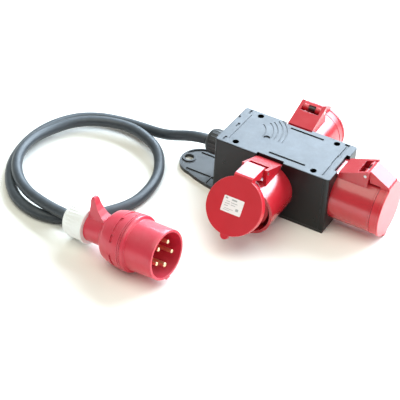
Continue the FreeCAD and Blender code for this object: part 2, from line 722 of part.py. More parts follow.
def gland_seal():
    return at_gland(ring(11.0 - FIT, CABLE_RADIUS, 7, 16.4))


def gland_nut():
    """Fluted nut that squeezes the seal onto the cable."""
    end = GLAND_REACH
    nut = turned([
        (7.5, 0), (7.5, GLAND_NUT_RADIUS - 0.8), (8.5, GLAND_NUT_RADIUS), (end - 5, GLAND_NUT_RADIUS - 0.6),
        (end - 1.5, 14.6), (end, 12.5), (end, 0)
    ])
    nut = nut.cut(rod(14.5 + THREAD_FIT, 0, 18.5))
    nut = nut.cut(rod(CABLE_RADIUS + 1.0, 0, end + 1))
    flutes = around(range(0, 360, 20), GLAND_NUT_RADIUS + 0.9, lambda y, z: rod(1.4, 0, end - 6, y, z))
    return at_gland(cut_all(nut, flutes))


# ---------------------------------------------------------------- plug, x = -distance behind the mouth


def at_plug(shape):
    """A plug piece moved from its own axes to where the plug lies."""
    copy = shape.copy()
    copy.rotate(V(0, 0, 0), V(0, 1, 0), -PLUG_PITCH)
    copy.rotate(V(0, 0, 0), V(0, 0, 1), PLUG_YAW)
    copy.translate(PLUG_MOUTH)
    return copy


def behind_mouth(distance):
    """Point on the plug's axis a distance behind its mouth."""
    yaw = math.radians(PLUG_YAW)
    pitch = math.radians(PLUG_PITCH)
    axis = V(math.cos(yaw) * math.cos(pitch), math.sin(yaw) * math.cos(pitch), math.sin(pitch))
    return PLUG_MOUTH - axis * distance


def plug_shroud():
    """Front shroud with its ring, key and the tail that enters the rear housing."""
    shroud = turned([
        (0, 0), (0, SHROUD_RADIUS - 0.9), (-0.8, SHROUD_RADIUS - 0.5), (-SHROUD_FLOOR, SHROUD_RADIUS),
        (-40, SHROUD_RADIUS), (-41.5, PLUG_COLLAR_RADIUS - 0.6), (-43, PLUG_COLLAR_RADIUS),
        (-PLUG_SEAM, PLUG_COLLAR_RADIUS), (-PLUG_SEAM, 32.6), (-58, 32.6), (-58, 0)
    ])
    for start in (-45.2, -48.0):
        shroud = shroud.cut(ring(PLUG_COLLAR_RADIUS + 1, PLUG_COLLAR_RADIUS - 1.1, start, start + 1.0))
    shroud = shroud.cut(rod(SHROUD_BORE, -70, 1))
    half = KEY_WIDTH / 2
    key = box(-SHROUD_FLOOR, -0.8, -half, half, -KEY_RADIUS, -SHROUD_RADIUS + 2.5)
    return at_plug(shroud.fuse(key))


def plug_insert():
    """Insert that carries the five pins."""
    insert = rod(SHROUD_BORE - FIT, -62, -SHROUD_FLOOR).fuse(rod(24, -70, -60))
    for radius, angles in ((LIVE_PIN_RADIUS, CONTACT_ANGLES), (EARTH_PIN_RADIUS, [EARTH_ANGLE])):
        holes = around(angles, PITCH_RADIUS, lambda y, z: rod(radius + FIT, -71, 0, y, z))
        insert = cut_all(insert, holes)
    return at_plug(insert)


def plug_pin(radius, y, z):
    """One round-nosed pin."""
    pin = rod(radius, -74, -PIN_TIP_DEPTH, y, z)
    nose = [edge for edge in pin.Edges if edge.BoundBox.XMin > -PIN_TIP_DEPTH - 0.01]
    return pin.makeFillet(radius * 0.45, nose)


def plug_live_pins():
    pins = around(CONTACT_ANGLES, PITCH_RADIUS, lambda y, z: plug_pin(LIVE_PIN_RADIUS, y, z))
    return at_plug(group(pins))


def plug_earth_pin():
    pins = around([EARTH_ANGLE], PITCH_RADIUS, lambda y, z: plug_pin(EARTH_PIN_RADIUS, y, z))
    return at_plug(pins[0])


def plug_fin():
    """Thumb fin on top of the rear housing, narrower towards its tip."""
    profile = [
        (-86, 17), (-88.7, 20.4), (-93, 24), (-97.5, 30.5), (-100.5, 37.5), (-102, 43.5), (-103.3, 46.6),
        (-105.2, 47.4), (-107, 46.4), (-108.3, 42.5), (-109.6, 34), (-111, 26), (-112.8, 19.6), (-112.8, 17)
    ]
    halves = [(8.5, 16), (6.4, 26), (4.8, 36), (4.3, 43.5), (3.4, 46.2), (1.8, 47.6)]
    outline = halves + [(-y, z) for y, z in reversed(halves)]
    corners = [V(-120, y, z) for y, z in outline + halves[:1]]
    front = Part.Face(Part.makePolygon(corners)).extrude(V(40, 0, 0))
    return side_profile(profile, 9.0).common(front)


def latch_slots():
    """Short and long slots sunk round the rear collar."""
    slots = []
    for start, sweep in ((36, 16), (58, 34), (98, 34), (138, 16), (-60, 34), (180, 40)):
        band = ring(40, 33.7, -61.0, -57.0)
        wedge = Part.makeCylinder(60, 10, V(-65, 0, 0), V(1, 0, 0), sweep)
        wedge.rotate(V(0, 0, 0), V(1, 0, 0), start - 90)
        slots.append(band.common(wedge))
    return slots


def plug_rear_housing():
    """Collar, shoulder, neck and fin behind the seam."""
    start = -PLUG_SEAM - 0.2
    outside = turned([
        (start, 0), (start, 36.0), (-55, 35.9), (-64, 34.9), (-72, 33.4), (-78, 31.6), (-82, 28.0),
        (-86, 23.0), (-89, NECK_RADIUS + 0.4), (-93, NECK_RADIUS), (-114, NECK_RADIUS - 0.6),
        (-114, 17.0), (-131, 17.0), (-131, 0)
    ])
    outside = outside.fuse(plug_fin())
    inside = turned([
        (start + 1, 0), (start + 1, 32.8), (-58.5, 32.8), (-58.5, 30.5), (-72, 30.5), (-80, 25), (-88, 15),
        (-115, 12.0), (-132, 12.0), (-132, 0)
    ])
    return at_plug(cut_all(outside.cut(inside), latch_slots()))


def plug_seal():
    return at_plug(ring(12.0 - FIT, CABLE_RADIUS, -128, -116))


def plug_grommet():
    """Soft bush in the nut's end, flared outward so that the cable can bend."""
    mouth = 0.4 - PLUG_NUT_END
    root = 6 - PLUG_NUT_END
    bore = CABLE_RADIUS + 1.2
    return at_plug(turned([(mouth, bore + 1.2), (mouth, 12.5), (root, 12.5), (root, bore)]))


def plug_nut():
    """Pale clamping nut with a flange ring and fluted grip."""
    start = -PLUG_NUT_START
    end = -PLUG_NUT_END
    nut = turned([
        (start, 0), (start, PLUG_NUT_RADIUS), (start - 3, PLUG_NUT_RADIUS + 0.2), (start - 3.2, 23.6),
        (end + 6, 22.6), (end + 2.5, 21.6), (end + 0.7, 19.4), (end, 16.5), (end, 0)
    ])
    nut = nut.cut(rod(17.0 + THREAD_FIT, -131.5, 0))
    nut = nut.cut(rod(14.0, -140, -100))
    nut = nut.cut(rod(12.5 + FIT, end - 1, -130))
    flutes = around(range(0, 360, 15), 24.6, lambda y, z: rod(1.5, end + 8, start - 5, y, z))
    return at_plug(cut_all(nut, flutes))


# ---------------------------------------------------------------- cable

# Route points from the wall: x, y and height over the floor, in cable radii on the second pass.
FIRST_PASS = [
    (-60, 0, 32.5), (-90, 2, 19.5), (-117, 11, 8), (-147, 17, 2), (-178, 16, 0),
    (-209, 7, 0), (-234, -11, 0), (-250, -38, 0), (-258, -68, 0), (-258, -100, 0),
    (-251, -133, 0), (-240, -158, 0), (-221, -184, 0), (-196, -205, 0), (-162, -215, 0),
    (-134, -211, 0), (-113, -199, 0), (-88, -169, 0), (-71, -142, 0), (-64, -118, 0),
    (-65, -83, 0), (-75, -50, 0),
]
SECOND_PASS = [
    (-96, -20, 1.15), (-140, -2, 1.4), (-172, -2, 1.25), (-204, -13, 1.1),
    (-226, -31, 1.05), (-241, -60, 1), (-248, -90, 1.3), (-245, -123, 1.65), (-235, -151, 1.65),
    (-215, -176, 1.5), (-188, -194, 1.5), (-160, -205, 1.9), (-128, -212, 2.2),
]


def cable_route():
    """Points from the gland, once round on the floor, once more on top, and into the plug."""
    floor = CABLE_RADIUS + CABLE_LIFT
    points = [(CABLE_START, 0.0, GLAND_HEIGHT), (CABLE_START - 32.0, 0.0, GLAND_HEIGHT)]
    points += [(x - HALF_LENGTH, y, z + floor) for x, y, z in FIRST_PASS]
    points += [(x - HALF_LENGTH, y, z * CABLE_RADIUS + floor) for x, y, z in SECOND_PASS]
    return points + [tuple(behind_mouth(PLUG_NUT_END - 6)), tuple(behind_mouth(PLUG_NUT_START - 2.5))]


def cable():
    """Rubber cable from the gland, twice round on the floor, to the plug."""
    tube, length, radii = tube_along(cable_route(), CABLE_RADIUS)
    print("cable length", round(length, 1), "bend radii", [round(radius, 1) for radius in radii])
    print("cable volume ratio", round(tube.Volume / (math.pi * CABLE_RADIUS ** 2 * length), 4))
    return tube


def all_nodes():
    nodes = {
        "housing_shell": housing_shell(),
        "base_plate": base_plate(),
        "base_gasket": gasket_ring(0.0),
        "housing_screws": housing_screws(),
        "terminal_body": terminal_body(),
        "terminal_clamps": terminal_clamps(),
        "terminal_screws": terminal_screws(),
        "feed_wires": feed_wires(),
        "front_wires": side_wires(-1),
        "back_wires": side_wires(1),
        "end_wires": end_wires(),
        "gland_body": gland_body(),
        "gland_locknut": gland_locknut(),
        "gland_seal": gland_seal(),
        "gland_nut": gland_nut(),
        "cable": cable(),
        "plug_shroud": plug_shroud(),
        "plug_insert": plug_insert(),
        "plug_live_pins": plug_live_pins(),
        "plug_earth_pin": plug_earth_pin(),
        "plug_rear_housing": plug_rear_housing(),
        "plug_seal": plug_seal(),
        "plug_grommet": plug_grommet(),
        "plug_nut": plug_nut(),
    }
    nodes.update(socket_nodes())
    return nodes


os.makedirs("parts", exist_ok=True)
for node_name, node_shape in all_nodes().items():
    node_shape.exportStep(f"parts/{node_name}.step")
    print(node_name, len(node_shape.Solids), node_shape.isValid(), round(node_shape.Volume, 1))
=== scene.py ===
import json
import logging
import math
from dataclasses import dataclass, field
from enum import Enum

import bmesh
import bpy
from mathutils import Matrix, Vector


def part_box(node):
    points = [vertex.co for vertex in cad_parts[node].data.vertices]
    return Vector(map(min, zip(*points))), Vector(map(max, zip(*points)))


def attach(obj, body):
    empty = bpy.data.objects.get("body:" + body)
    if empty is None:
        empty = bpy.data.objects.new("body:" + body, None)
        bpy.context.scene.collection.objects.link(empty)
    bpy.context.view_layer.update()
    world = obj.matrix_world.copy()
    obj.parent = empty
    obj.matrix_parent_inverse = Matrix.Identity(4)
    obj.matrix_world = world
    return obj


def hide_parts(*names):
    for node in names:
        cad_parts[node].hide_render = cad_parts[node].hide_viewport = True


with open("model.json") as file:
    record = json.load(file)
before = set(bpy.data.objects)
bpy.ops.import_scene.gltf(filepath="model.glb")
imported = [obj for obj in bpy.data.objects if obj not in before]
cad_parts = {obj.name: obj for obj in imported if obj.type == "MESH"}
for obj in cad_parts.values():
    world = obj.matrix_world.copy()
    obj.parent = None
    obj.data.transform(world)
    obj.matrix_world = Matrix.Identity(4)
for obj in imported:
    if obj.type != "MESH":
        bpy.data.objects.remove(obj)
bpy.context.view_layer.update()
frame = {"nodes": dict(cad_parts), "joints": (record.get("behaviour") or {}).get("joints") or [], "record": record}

MM = 0.001
SHARP_ANGLE = 32.0
WIDE_FLAT_AREA, WIDE_FLAT_ANGLE = 0.0006, 1.0
SMALL_FLAT_AREA, SMALL_FLAT_ANGLE = 0.00006, 9.0
SAME_PLANE = 0.99999
WELD = 1e-6
FINE_WELD = 1e-7
WEAR_GAIN = 5.0
PATCH_GAIN = 1.6
LOOK_AT = (-0.05, -0.05, 0.04)
Colour = tuple[float, float, float]
Point = tuple[float, float, float]
log = logging.getLogger("splitter")


class Body(Enum):
    """The moving bodies of the splitter."""

    BOX = "box"
    FRONT_LID = "front_lid"
    BACK_LID = "back_lid"
    END_LID = "end_lid"


class Outlet(Enum):
    """The three socket outlets of the housing."""

    FRONT = "front"
    BACK = "back"
    END = "end"


# ------------------------------------------------------------------ shader helpers


class Wiring:
    """A node tree with short ways to add nodes and links."""

    def __init__(self, tree: bpy.types.NodeTree) -> None:
        """Keeps the tree that nodes are added to."""
        self.tree = tree

    def add(self, kind: str, **values: object) -> bpy.types.Node:
        """Adds a node and sets its attributes or its inputs.

        Args:
            kind: Blender's node type name.
            values: attribute names, or input names with spaces written as underscores.

        Returns:
            The new node.
        """
        node = self.tree.nodes.new(kind)
        for name, value in values.items():
            if hasattr(node, name):
                setattr(node, name, value)
            else:
                node.inputs[name.replace("_", " ")].default_value = value
        return node

    def link(self, source: bpy.types.NodeSocket, target: bpy.types.NodeSocket) -> None:
        """Joins an output to an input."""
        self.tree.links.new(source, target)

    def math(self, operation: str, *terms: object) -> bpy.types.NodeSocket:
        """Adds a math node.

        Args:
            operation: the math operation's name.
            terms: numbers or sockets, in order.

        Returns:
            The node's output socket.
        """
        node = self.tree.nodes.new("ShaderNodeMath")
        node.operation = operation
        for index, term in enumerate(terms):
            if isinstance(term, bpy.types.NodeSocket):
                self.link(term, node.inputs[index])
            else:
                node.inputs[index].default_value = term
        return node.outputs[0]

    def mix(self, factor: object, first: object, second: object) -> bpy.types.NodeSocket:
        """Adds a colour mix.

        Args:
            factor: number or socket.
            first: colour or socket at factor 0.
            second: colour or socket at factor 1.

        Returns:
            The mixed colour socket.
        """
        node = self.tree.nodes.new("ShaderNodeMix")
        node.data_type = "RGBA"
        for index, value in ((0, factor), (6, first), (7, second)):
            if isinstance(value, bpy.types.NodeSocket):
                self.link(value, node.inputs[index])
            elif isinstance(value, (int, float)):
                node.inputs[index].default_value = value
            else:
                node.inputs[index].default_value = (*value, 1.0)
        return node.outputs[2]


class SurfaceEffects:
    """Node groups shared by the finishes, each built once."""

    _built: dict[str, bpy.types.NodeTree] = {}

    @classmethod
    def _begin(
        cls, name: str, inputs: dict[str, float], outputs: dict[str, str]
    ) -> tuple[Wiring, bpy.types.Node, bpy.types.Node]:
        """Starts a node group.

        Args:
            name: the group's name.
            inputs: float input names and their defaults.
            outputs: output names and socket types.

        Returns:
            The group's wiring, its input node and its output node.
        """
        tree = bpy.data.node_groups.new(name, "ShaderNodeTree")
        for label, value in inputs.items():
            socket = tree.interface.new_socket(name=label, in_out="INPUT", socket_type="NodeSocketFloat")
            socket.default_value = value
        for label, kind in outputs.items():
            tree.interface.new_socket(name=label, in_out="OUTPUT", socket_type=kind)
        wires = Wiring(tree)
        return wires, wires.add("NodeGroupInput"), wires.add("NodeGroupOutput")

    @staticmethod
    def _noise(
        wires: Wiring, size: bpy.types.NodeSocket, detail: float, roughness: float
    ) -> bpy.types.NodeSocket:
        """Adds noise that is fixed to the piece.

        Args:
            wires: the tree it goes in.
            size: the noise's grain size in metres.
            detail: how many finer layers it has.
            roughness: how strong the finer layers are.

        Returns:
            The noise, about 0 to 1.
        """
        place = wires.add("ShaderNodeTexCoord")
        noise = wires.add("ShaderNodeTexNoise", Detail=detail, Roughness=roughness)
        wires.link(place.outputs["Object"], noise.inputs["Vector"])
        wires.link(wires.math("DIVIDE", 1.0, size), noise.inputs["Scale"])
        return noise.outputs["Fac"]

    @classmethod
    def moulded_grain(cls) -> bpy.types.NodeTree:
        """Fine moulded texture: a height and a slow mottling mask."""
        if "moulded grain" not in cls._built:
            wires, given, out = cls._begin(
                "moulded grain",
                {"Grain Size": 0.0006, "Mottle Size": 0.02},
                {"Height": "NodeSocketFloat", "Mottle": "NodeSocketFloat"},
            )
            for label, target, detail in (("Grain Size", "Height", 3.0), ("Mottle Size", "Mottle", 4.0)):
                wires.link(cls._noise(wires, given.outputs[label], detail, 0.6), out.inputs[target])
            cls._built["moulded grain"] = wires.tree
        return cls._built["moulded grain"]

    @classmethod
    def edge_wear(cls) -> bpy.types.NodeTree:
        """Mask that is bright on worn outer edges, broken up by noise, and a softened edge normal."""
        if "edge wear" not in cls._built:
            wires, given, out = cls._begin(
                "edge wear",
                {"Edge Width": 0.0006, "Patch Size": 0.006},
                {"Mask": "NodeSocketFloat", "Normal": "NodeSocketVector"},
            )
            soft = wires.add("ShaderNodeBevel", samples=4)
            wires.link(given.outputs["Edge Width"], soft.inputs["Radius"])
            plain = wires.add("ShaderNodeNewGeometry")
            dot = wires.add("ShaderNodeVectorMath", operation="DOT_PRODUCT")
            wires.link(soft.outputs["Normal"], dot.inputs[0])
            wires.link(plain.outputs["Normal"], dot.inputs[1])
            bend = wires.math("SUBTRACT", 1.0, dot.outputs["Value"])
            noise = cls._noise(wires, given.outputs["Patch Size"], 5.0, 0.7)
            patch = wires.math("SMOOTH_MIN", wires.math("MULTIPLY", noise, PATCH_GAIN), 1.0, 0.2)
            worn = wires.math("MULTIPLY", wires.math("MULTIPLY", bend, WEAR_GAIN), patch)
            wires.link(wires.math("MINIMUM", worn, 1.0), out.inputs["Mask"])
            wires.link(soft.outputs["Normal"], out.inputs["Normal"])
            cls._built["edge wear"] = wires.tree
        return cls._built["edge wear"]

    @classmethod
    def settled_dust_and_sheen(cls) -> bpy.types.NodeTree:
        """Mask that is bright on surfaces that face up, broken up by noise: settled dust, and painted sheen where
        the finish gives it a tint like the window light.
        """
        if "settled dust and sheen" not in cls._built:
            wires, given, out = cls._begin(
                "settled dust and sheen", {"Patch Size": 0.015, "Cover": 0.5}, {"Mask": "NodeSocketFloat"}
            )
            plain = wires.add("ShaderNodeNewGeometry")
            parts = wires.add("ShaderNodeSeparateXYZ")
            wires.link(plain.outputs["Normal"], parts.inputs[0])
            up = wires.math("POWER", wires.math("MAXIMUM", parts.outputs["Z"], 0.0), 2.0)
            noise = cls._noise(wires, given.outputs["Patch Size"], 6.0, 0.65)
            patch = wires.math("MULTIPLY", up, noise)
            wires.link(wires.math("MULTIPLY", patch, given.outputs["Cover"]), out.inputs["Mask"])
            cls._built["settled dust and sheen"] = wires.tree
        return cls._built["settled dust and sheen"]


# ------------------------------------------------------------------ finishes


@dataclass(frozen=True)
class Finish:
    """A named finish, made into a material on first use."""

    name: str

    def material(self) -> bpy.types.Material:
        """The finish as a material."""
        made = bpy.data.materials.get(self.name)
        if made is None:
            made = bpy.data.materials.new(self.name)
            made.use_nodes = True
            made.node_tree.nodes.clear()
            wires = Wiring(made.node_tree)
            shader = self.shader(wires)
            out = wires.add("ShaderNodeOutputMaterial")
            wires.link(shader.outputs[0], out.inputs[0])
        return made

    def shader(self, wires: Wiring) -> bpy.types.Node:
        """Adds the finish's nodes and returns its shader node."""
        raise NotImplementedError


@dataclass(frozen=True)
class Plastic(Finish):
    """A moulded plastic or rubber with grain, mottling, worn edges, and dust mixed with painted sheen on faces
    that look up.
    """

    colour: Colour
    shade: Colour
    edge: Colour
    roughness: float
    roughness_swing: float = 0.12
    grain_size: float = 0.0007
    grain_depth: float = 0.00004
    mottle_size: float = 0.02
    edge_width: float = 0.0006
    edge_strength: float = 0.5
    # Colour mixed in on faces that look up: settled dust, and on the blue-grey finishes a painted sheen of the
    # window light.
    dust_and_sheen: Colour = (0.55, 0.55, 0.55)
    dust_and_sheen_cover: float = 0.1
    specular: float = 0.5
    coat: float = 0.0
    coat_roughness: float = 0.15
    dust_dulling: float = 0.5

    def shader(self, wires: Wiring) -> bpy.types.Node:
        """Adds the plastic's nodes and returns its shader node."""
        grain = wires.add("ShaderNodeGroup", node_tree=SurfaceEffects.moulded_grain())
        grain.inputs["Grain Size"].default_value = self.grain_size
        grain.inputs["Mottle Size"].default_value = self.mottle_size
        wear = wires.add("ShaderNodeGroup", node_tree=SurfaceEffects.edge_wear())
        wear.inputs["Edge Width"].default_value = self.edge_width
        dust_and_sheen = wires.add("ShaderNodeGroup", node_tree=SurfaceEffects.settled_dust_and_sheen())
        dust_and_sheen.inputs["Cover"].default_value = self.dust_and_sheen_cover
        base = wires.mix(grain.outputs["Mottle"], self.shade, self.colour)
        base = wires.mix(wires.math("MULTIPLY", wear.outputs["Mask"], self.edge_strength), base, self.edge)
        # Dust and painted top sheen, mixed in on faces that look up.
        base = wires.mix(dust_and_sheen.outputs["Mask"], base, self.dust_and_sheen)
        swing = wires.math("SUBTRACT", grain.outputs["Mottle"], 0.5)
        rough = wires.math("ADD", self.roughness, wires.math("MULTIPLY", swing, self.roughness_swing))
        rough = wires.math("ADD", rough, wires.math("MULTIPLY", dust_and_sheen.outputs["Mask"], self.dust_dulling))
        bump = wires.add("ShaderNodeBump", Strength=1.0, Distance=self.grain_depth)
        wires.link(grain.outputs["Height"], bump.inputs["Height"])
        wires.link(wear.outputs["Normal"], bump.inputs["Normal"])
        shader = wires.add("ShaderNodeBsdfPrincipled")
        shader.inputs["Specular IOR Level"].default_value = self.specular
        shader.inputs["Coat Weight"].default_value = self.coat
        shader.inputs["Coat Roughness"].default_value = self.coat_roughness
        wires.link(base, shader.inputs["Base Color"])
        wires.link(rough, shader.inputs["Roughness"])
        wires.link(bump.outputs["Normal"], shader.inputs["Normal"])
        return shader


@dataclass(frozen=True)
class Metal(Finish):
    """A drawn or turned metal with fine scratches and tarnish."""

    colour: Colour
    tarnish: Colour
    roughness: float
    scratch_size: float = 0.0004
    scratch_depth: float = 0.00002
    spot_size: float = 0.004
    spot_strength: float = 0.7
    spot_dulling: float = 0.2
    edge_width: float = 0.0003

    def shader(self, wires: Wiring) -> bpy.types.Node:
        """Adds the metal's nodes and returns its shader node."""
        grain = wires.add("ShaderNodeGroup", node_tree=SurfaceEffects.moulded_grain())
        grain.inputs["Grain Size"].default_value = self.scratch_size
        grain.inputs["Mottle Size"].default_value = self.spot_size
        wear = wires.add("ShaderNodeGroup", node_tree=SurfaceEffects.edge_wear())
        wear.inputs["Edge Width"].default_value = self.edge_width
        spots = wires.math("MULTIPLY", grain.outputs["Mottle"], self.spot_strength)
        base = wires.mix(spots, self.colour, self.tarnish)
        rough = wires.math("ADD", self.roughness, wires.math("MULTIPLY", spots, self.spot_dulling))
        bump = wires.add("ShaderNodeBump", Strength=1.0, Distance=self.scratch_depth)
        wires.link(grain.outputs["Height"], bump.inputs["Height"])
        wires.link(wear.outputs["Normal"], bump.inputs["Normal"])
        shader = wires.add("ShaderNodeBsdfPrincipled", Metallic=1.0)
        wires.link(base, shader.inputs["Base Color"])
        wires.link(rough, shader.inputs["Roughness"])
        wires.link(bump.outputs["Normal"], shader.inputs["Normal"])
        return shader


@dataclass(frozen=True)
class PrintedCard(Finish):
    """A white label with a few plain ruled bars and no lettering, drawn across its own UV map."""

    paper: Colour = (0.93, 0.92, 0.93)
    ink: Colour = (0.30, 0.33, 0.34)
    grime: Colour = (0.6, 0.5, 0.5)
    ink_strength: float = 0.8
    bars: tuple[tuple[float, float, float, float], ...] = (
        (0.40, 0.66, 0.80, 0.90), (0.08, 0.20, 0.82, 0.92), (0.16, 0.34, 0.66, 0.70),
        (0.40, 0.72, 0.64, 0.68), (0.12, 0.36, 0.52, 0.56), (0.42, 0.64, 0.50, 0.54),
        (0.12, 0.30, 0.38, 0.42), (0.70, 0.84, 0.24, 0.40), (0.14, 0.60, 0.22, 0.25),
        (0.12, 0.44, 0.12, 0.15),
    )

    def shader(self, wires: Wiring) -> bpy.types.Node:
        """Adds the card's nodes and returns its shader node."""
        place = wires.add("ShaderNodeUVMap", uv_map="label")
        parts = wires.add("ShaderNodeSeparateXYZ")
        wires.link(place.outputs[0], parts.inputs[0])
        across, down = parts.outputs["X"], parts.outputs["Y"]
        mask: object = 0.0
        for left, right, low, high in self.bars:
            bar: object = 1.0
            for value, start, end in ((across, left, right), (down, low, high)):
                bar = wires.math("MULTIPLY", bar, wires.math("GREATER_THAN", value, start))
                bar = wires.math("MULTIPLY", bar, wires.math("LESS_THAN", value, end))
            mask = wires.math("MAXIMUM", mask, bar)
        grain = wires.add("ShaderNodeGroup", node_tree=SurfaceEffects.moulded_grain())
        base = wires.mix(wires.math("MULTIPLY", mask, self.ink_strength), self.paper, self.ink)
        base = wires.mix(wires.math("MULTIPLY", grain.outputs["Mottle"], 0.12), base, self.grime)
        rough = wires.math("ADD", 0.3, wires.math("MULTIPLY", grain.outputs["Mottle"], 0.15))
        shader = wires.add("ShaderNodeBsdfPrincipled")
        wires.link(base, shader.inputs["Base Color"])
        wires.link(rough, shader.inputs["Roughness"])
        return shader


# The blue-grey colour mixed onto the housing's top faces is partly settled dust and partly painted sheen of the
# window light.
BLACK_HOUSING = Plastic(
    "black_housing_plastic", (0.004, 0.0045, 0.005), (0.003, 0.0033, 0.0038), (0.10, 0.11, 0.12), 0.30,
    roughness_swing=0.16, grain_size=0.0011, grain_depth=0.00003, edge_strength=0.6,
    dust_and_sheen=(0.50, 0.58, 0.70), dust_and_sheen_cover=0.20, specular=0.38,
)
BLACK_TAB = Plastic(
    "black_tab_plastic", (0.018, 0.019, 0.020), (0.012, 0.013, 0.014), (0.12, 0.13, 0.14), 0.45,
    roughness_swing=0.2, dust_and_sheen=(0.40, 0.42, 0.44), dust_and_sheen_cover=0.10,
)
BLACK_GLAND = Plastic(
    "black_gland_plastic", (0.016, 0.017, 0.019), (0.010, 0.011, 0.012), (0.10, 0.10, 0.11), 0.38
)
RED_SOCKET = Plastic(
    "red_socket_plastic", (0.52, 0.008, 0.020), (0.44, 0.006, 0.015), (0.80, 0.18, 0.24), 0.24,
    roughness_swing=0.1, grain_size=0.0009, grain_depth=0.00002, edge_strength=0.5,
    dust_and_sheen=(0.80, 0.60, 0.64), dust_and_sheen_cover=0.08, coat=0.8, coat_roughness=0.2,
)
RED_LID = Plastic(
    "red_lid_plastic", (0.60, 0.012, 0.026), (0.53, 0.009, 0.020), (0.90, 0.32, 0.38), 0.30,
    roughness_swing=0.1, grain_size=0.0010, grain_depth=0.00003, edge_strength=0.6,
    dust_and_sheen=(0.80, 0.55, 0.62), dust_and_sheen_cover=0.08, coat=0.45, coat_roughness=0.32,
)
RED_PLUG = Plastic(
    "red_plug_plastic", (0.66, 0.028, 0.060), (0.54, 0.018, 0.042), (0.90, 0.34, 0.42), 0.34,
    roughness_swing=0.14, grain_size=0.0010, grain_depth=0.00003, edge_strength=0.6,
    dust_and_sheen=(0.85, 0.62, 0.70), dust_and_sheen_cover=0.14, coat=0.2, coat_roughness=0.25,
)
RED_INSERT = Plastic(
    "red_insert_plastic", (0.50, 0.010, 0.020), (0.40, 0.008, 0.016), (0.6, 0.1, 0.12), 0.45
)
WHITE_NUT = Plastic(
    "white_nut_plastic", (0.93, 0.93, 0.92), (0.88, 0.88, 0.87), (0.95, 0.95, 0.95), 0.35,
    edge_strength=0.3, dust_and_sheen=(0.7, 0.7, 0.7), dust_and_sheen_cover=0.08,
)
# The blue-grey colour mixed onto the cable's upper side is partly settled dust and partly painted sheen of the
# window light.
CABLE_RUBBER = Plastic(
    "grey_black_cable_rubber", (0.026, 0.033, 0.042), (0.017, 0.022, 0.028), (0.10, 0.11, 0.12), 0.42,
    roughness_swing=0.25, grain_size=0.0008, grain_depth=0.00006, mottle_size=0.012,
    dust_and_sheen=(0.42, 0.48, 0.54), dust_and_sheen_cover=0.20,
)
SEAL_RUBBER = Plastic(
    "soft_seal_rubber", (0.02, 0.02, 0.021), (0.014, 0.014, 0.015), (0.08, 0.08, 0.08), 0.65
)
DARK_BLOCK = Plastic(
    "terminal_block_plastic", (0.10, 0.10, 0.11), (0.07, 0.07, 0.08), (0.25, 0.25, 0.26), 0.45
)
CORE_PLASTIC = Plastic("core_insulation", (0.10, 0.06, 0.03), (0.06, 0.035, 0.02), (0.2, 0.14, 0.1), 0.35)
BRASS = Metal("contact_brass", (0.82, 0.62, 0.28), (0.55, 0.38, 0.16), 0.22)
PIN_METAL = Metal("plug_pin_metal", (0.95, 0.80, 0.52), (0.80, 0.64, 0.38), 0.30)
# Steel for the hinge springs, darkened as painted shade so that the spring reads as the shaded inside of the hinge
# slot.
SPRING_STEEL_AS_SLOT_SHADE = Metal("spring_steel_dark_as_slot_shade", (0.20, 0.17, 0.17), (0.10, 0.08, 0.08), 0.35)
STEEL = Metal("bright_steel", (0.66, 0.66, 0.67), (0.40, 0.39, 0.38), 0.28)
LABEL = PrintedCard("plain_label")


# ------------------------------------------------------------------ meshes


